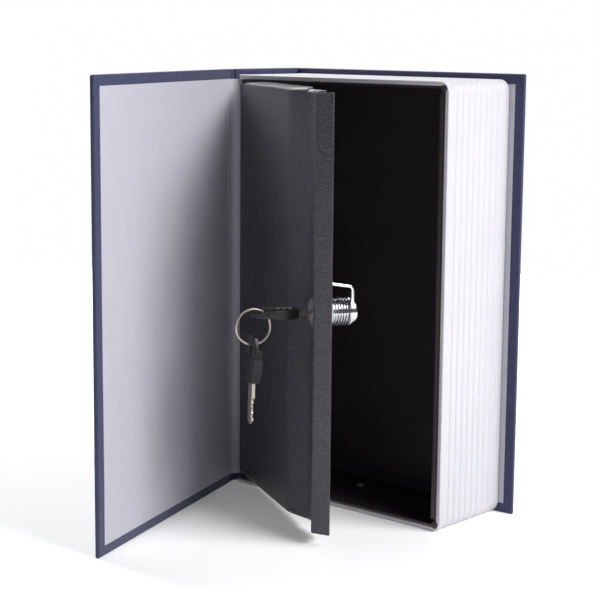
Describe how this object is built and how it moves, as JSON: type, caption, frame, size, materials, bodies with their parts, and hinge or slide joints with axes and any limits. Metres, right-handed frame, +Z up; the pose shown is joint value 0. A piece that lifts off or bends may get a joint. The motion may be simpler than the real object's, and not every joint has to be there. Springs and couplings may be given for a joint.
{
  "type": "book safe",
  "caption": "Hardcover case around a hinged key-lock strongbox in a moulded page block, with the cover and the door standing open and keys in the lock.",
  "frame": {"origin": "centre of the page block's bottom face, on the surface the book stands on", "axes": "+Z up along the spine, +X from the spine to the fore-edge, +Y from the front cover to the back cover"},
  "size_m": [0.161, 0.2084, 0.24],
  "materials": {
    "book_cloth": "woven book cloth, navy",
    "greyboard": "pressed greyboard",
    "endpaper": "smooth uncoated paper",
    "page_plastic": "moulded, satin",
    "hammered_paint": "hammered enamel",
    "black_paint": "satin black",
    "chrome": "polished",
    "zinc": "bright zinc plate",
    "nickel": "nickel plate",
    "key_plastic": "moulded, satin"
  },
  "bodies": {
    "book": {"back_board": "greyboard", "back_cloth": "book_cloth", "back_endpaper": "endpaper", "spine_board": "greyboard", "spine_cloth": "book_cloth", "front_joint_cloth": "book_cloth", "back_joint_cloth": "book_cloth", "page_block": "page_plastic", "strongbox": "black_paint", "rivet_floor_middle": "zinc", "rivet_floor_hinge_side": "zinc", "rivet_top_middle": "zinc", "rivet_top_hinge_side": "zinc", "hinge_pin_top": "zinc", "hinge_pin_bottom": "zinc"},
    "front_cover": {"front_board": "greyboard", "front_cloth": "book_cloth", "front_endpaper": "endpaper"},
    "door": {"door_panel": "hammered_paint", "lock_housing": "chrome", "lock_washer": "zinc", "lock_nut": "zinc"},
    "plug": {"lock_plug": "zinc", "cam_collar": "chrome", "cam": "zinc"},
    "key": {"key_blade": "nickel", "key_head": "key_plastic"},
    "ring": {"key_ring": "nickel"},
    "spare_key": {"spare_key_blade": "nickel", "spare_key_head": "key_plastic"}
  },
  "joints": [
    {"name": "cover_hinge", "type": "hinge", "parent": "book", "child": "front_cover", "pos_m": [-0.0775, -0.028, 0], "axis": [0, 0, -1], "range_deg": [-53, 108.8]},
    {"name": "door_hinge", "type": "hinge", "parent": "book", "child": "door", "pos_m": [-0.06985, -0.023, 0], "axis": [0, 0, -1], "range_deg": [-29.5, 60.7]},
    {"name": "lock_turn", "type": "hinge", "parent": "door", "child": "plug", "pos_m": [0.0225, -0.07869, 0.1185], "axis": [0.4924, 0.8704, 0], "range_deg": [0, 90]},
    {"name": "key_slide", "type": "slide", "parent": "plug", "child": "key", "axis": [-0.4924, -0.8704, 0], "range_m": [0, 0.018]},
    {"name": "ring_swing", "type": "hinge", "parent": "key", "child": "ring", "pos_m": [0.01191, -0.09741, 0.1185], "axis": [-0.8704, 0.4924, 0], "range_deg": [0, 80]},
    {"name": "spare_key_swing", "type": "hinge", "parent": "ring", "child": "spare_key", "pos_m": [0.00876, -0.10298, 0.11266], "axis": [-0.8704, 0.4924, 0], "range_deg": [-20, 35]}
  ],
  "couplings": [
    {"joint": "door_hinge", "follows": "cover_hinge", "ratio": 0.5566}
  ]
}
